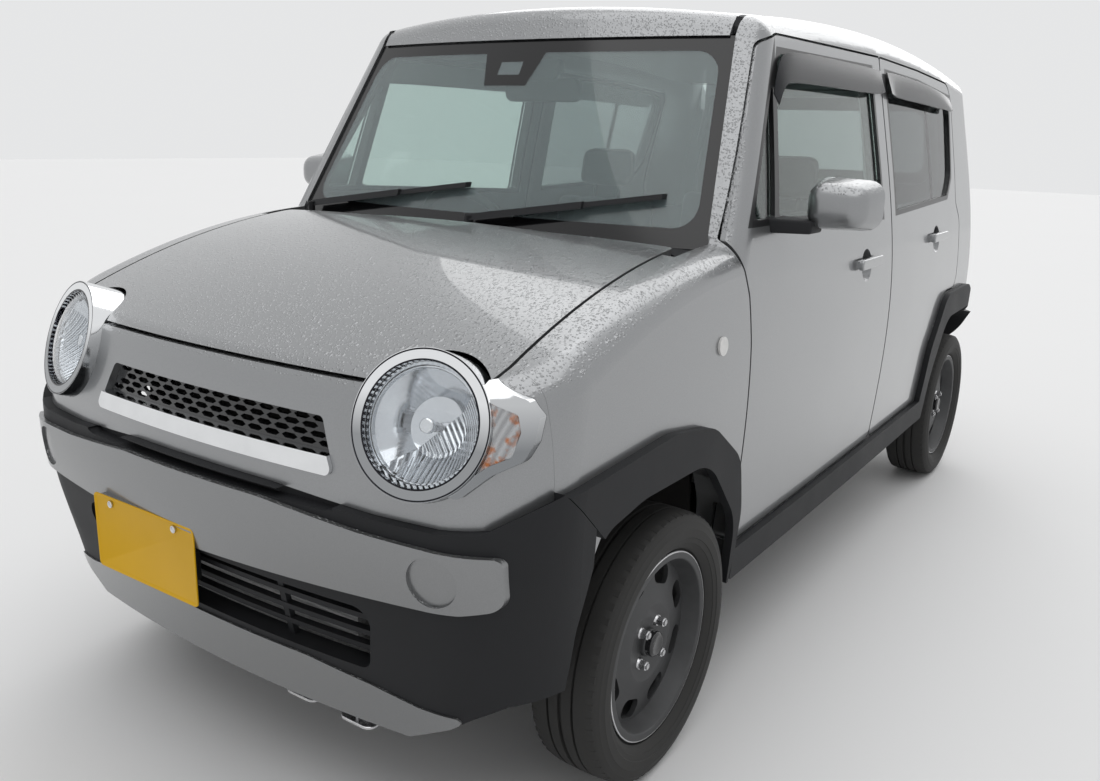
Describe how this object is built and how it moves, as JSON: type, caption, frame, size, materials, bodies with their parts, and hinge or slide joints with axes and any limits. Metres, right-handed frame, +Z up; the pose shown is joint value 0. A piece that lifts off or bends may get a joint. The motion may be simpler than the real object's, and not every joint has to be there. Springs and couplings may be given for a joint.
{
  "type": "kei car",
  "caption": "Kei-class high-roof car with round headlamps, black cladding and steel wheels; doors, bonnet and tailgate open, the front wheels steer and all wheels roll.",
  "frame": {"origin": "on the ground under the middle of the car's overall box", "axes": "+Z up, -Y towards the front of the car, +X towards the car's left side"},
  "size_m": [1.8064, 3.3956, 1.665],
  "materials": {
    "silver_paint": "mid silver metallic, clear coated",
    "black_plastic": "black grained cladding",
    "silver_plastic": "silver painted plastic",
    "gloss_black": "gloss black",
    "chrome": "bright chrome",
    "glass": "pale green tinted glass",
    "lamp_glass": "clear lamp lens",
    "red_lens": "red lamp lens",
    "rubber": "black rubber",
    "tyre": "black road tyre",
    "wheel_steel": "dark grey painted steel wheel",
    "black_metal": "black painted steel",
    "cast_iron": "cast machine parts",
    "aluminium": "bare aluminium",
    "seat_cloth": "dark woven seat cloth",
    "dark_trim": "dark interior plastic",
    "exhaust_steel": "dull exhaust steel"
  },
  "bodies": {
    "body": {"body_sides": "silver_paint", "roof": "silver_paint", "roof_mouldings": "black_plastic", "windscreen": "glass", "cowl": "black_plastic", "nose_panel": "silver_paint", "front_fenders": "silver_paint", "grille_mesh": "gloss_black", "grille_strip": "chrome", "front_bumper": "black_plastic", "bumper_bar": "silver_plastic", "skid_plate": "silver_plastic", "rear_bumper": "black_plastic", "floor_pan": "black_metal", "engine_block": "cast_iron", "radiator": "aluminium", "dashboard": "dark_trim", "front_seats": "seat_cloth", "rear_seat": "seat_cloth", "front_suspension": "black_metal", "rear_axle": "black_metal", "exhaust": "exhaust_steel", "fuel_tank": "black_plastic", "wipers": "black_plastic", "headlamp_bezels": "chrome", "headlamp_lenses": "lamp_glass", "headlamp_bowls": "chrome", "side_cladding": "black_plastic", "tail_lamps": "red_lens", "side_lamps": "lamp_glass", "door_seals": "rubber"},
    "hood": {"hood": "silver_paint"},
    "tailgate": {"tailgate": "silver_paint", "tailgate_glass": "glass"},
    "steering_wheel": {"steering_wheel": "dark_trim"},
    "door_front_left": {"door_front_left": "silver_paint", "glass_front_left": "glass", "mirror_left": "silver_paint"},
    "door_rear_left": {"door_rear_left": "silver_paint", "glass_rear_left": "glass"},
    "knuckle_left": {"knuckle_left": "cast_iron"},
    "wheel_front_left": {"wheel_front_left": "wheel_steel", "tyre_front_left": "tyre"},
    "wheel_rear_left": {"wheel_rear_left": "wheel_steel", "tyre_rear_left": "tyre"},
    "door_front_right": {"door_front_right": "silver_paint", "glass_front_right": "glass", "mirror_right": "silver_paint"},
    "door_rear_right": {"door_rear_right": "silver_paint", "glass_rear_right": "glass"},
    "knuckle_right": {"knuckle_right": "cast_iron"},
    "wheel_front_right": {"wheel_front_right": "wheel_steel", "tyre_front_right": "tyre"},
    "wheel_rear_right": {"wheel_rear_right": "wheel_steel", "tyre_rear_right": "tyre"}
  },
  "joints": [
    {"name": "steer_left", "type": "hinge", "parent": "body", "child": "knuckle_left", "pos_m": [0.567, -1.0875, 0.289], "axis": [0, 0, 1], "range_deg": [-35, 35]},
    {"name": "spin_front_left", "type": "hinge", "parent": "knuckle_left", "child": "wheel_front_left", "pos_m": [0.6475, -1.0875, 0.289], "axis": [1, 0, 0], "continuous": true},
    {"name": "spin_rear_left", "type": "hinge", "parent": "body", "child": "wheel_rear_left", "pos_m": [0.645, 1.3375, 0.289], "axis": [1, 0, 0], "continuous": true},
    {"name": "front_door_left", "type": "hinge", "parent": "body", "child": "door_front_left", "pos_m": [0.714, -0.88, 0.7], "axis": [0, 0, -1], "range_deg": [0, 65]},
    {"name": "rear_door_left", "type": "hinge", "parent": "body", "child": "door_rear_left", "pos_m": [0.726, 0.325, 0.7], "axis": [0, 0, -1], "range_deg": [0, 68]},
    {"name": "steer_right", "type": "hinge", "parent": "body", "child": "knuckle_right", "pos_m": [-0.567, -1.0875, 0.289], "axis": [0, 0, 1], "range_deg": [-35, 35]},
    {"name": "spin_front_right", "type": "hinge", "parent": "knuckle_right", "child": "wheel_front_right", "pos_m": [-0.6475, -1.0875, 0.289], "axis": [1, 0, 0], "continuous": true},
    {"name": "spin_rear_right", "type": "hinge", "parent": "body", "child": "wheel_rear_right", "pos_m": [-0.645, 1.3375, 0.289], "axis": [1, 0, 0], "continuous": true},
    {"name": "front_door_right", "type": "hinge", "parent": "body", "child": "door_front_right", "pos_m": [-0.714, -0.88, 0.7], "axis": [0, 0, 1], "range_deg": [0, 65]},
    {"name": "rear_door_right", "type": "hinge", "parent": "body", "child": "door_rear_right", "pos_m": [-0.726, 0.325, 0.7], "axis": [0, 0, 1], "range_deg": [0, 68]},
    {"name": "steering", "type": "hinge", "parent": "body", "child": "steering_wheel", "pos_m": [-0.335, -0.42, 0.985], "axis": [0, 0.8988, 0.4384], "range_deg": [-560, 560]},
    {"name": "bonnet", "type": "hinge", "parent": "body", "child": "hood", "pos_m": [0, -0.8995, 1.113], "axis": [-1, 0, 0], "range_deg": [0, 52]},
    {"name": "tailgate_lift", "type": "hinge", "parent": "body", "child": "tailgate", "pos_m": [0, 1.5035, 1.592], "axis": [1, 0, 0], "range_deg": [0, 80]}
  ],
  "couplings": [
    {"joint": "steer_right", "follows": "steer_left", "ratio": 1},
    {"joint": "steering", "follows": "steer_left", "ratio": 16}
  ]
}
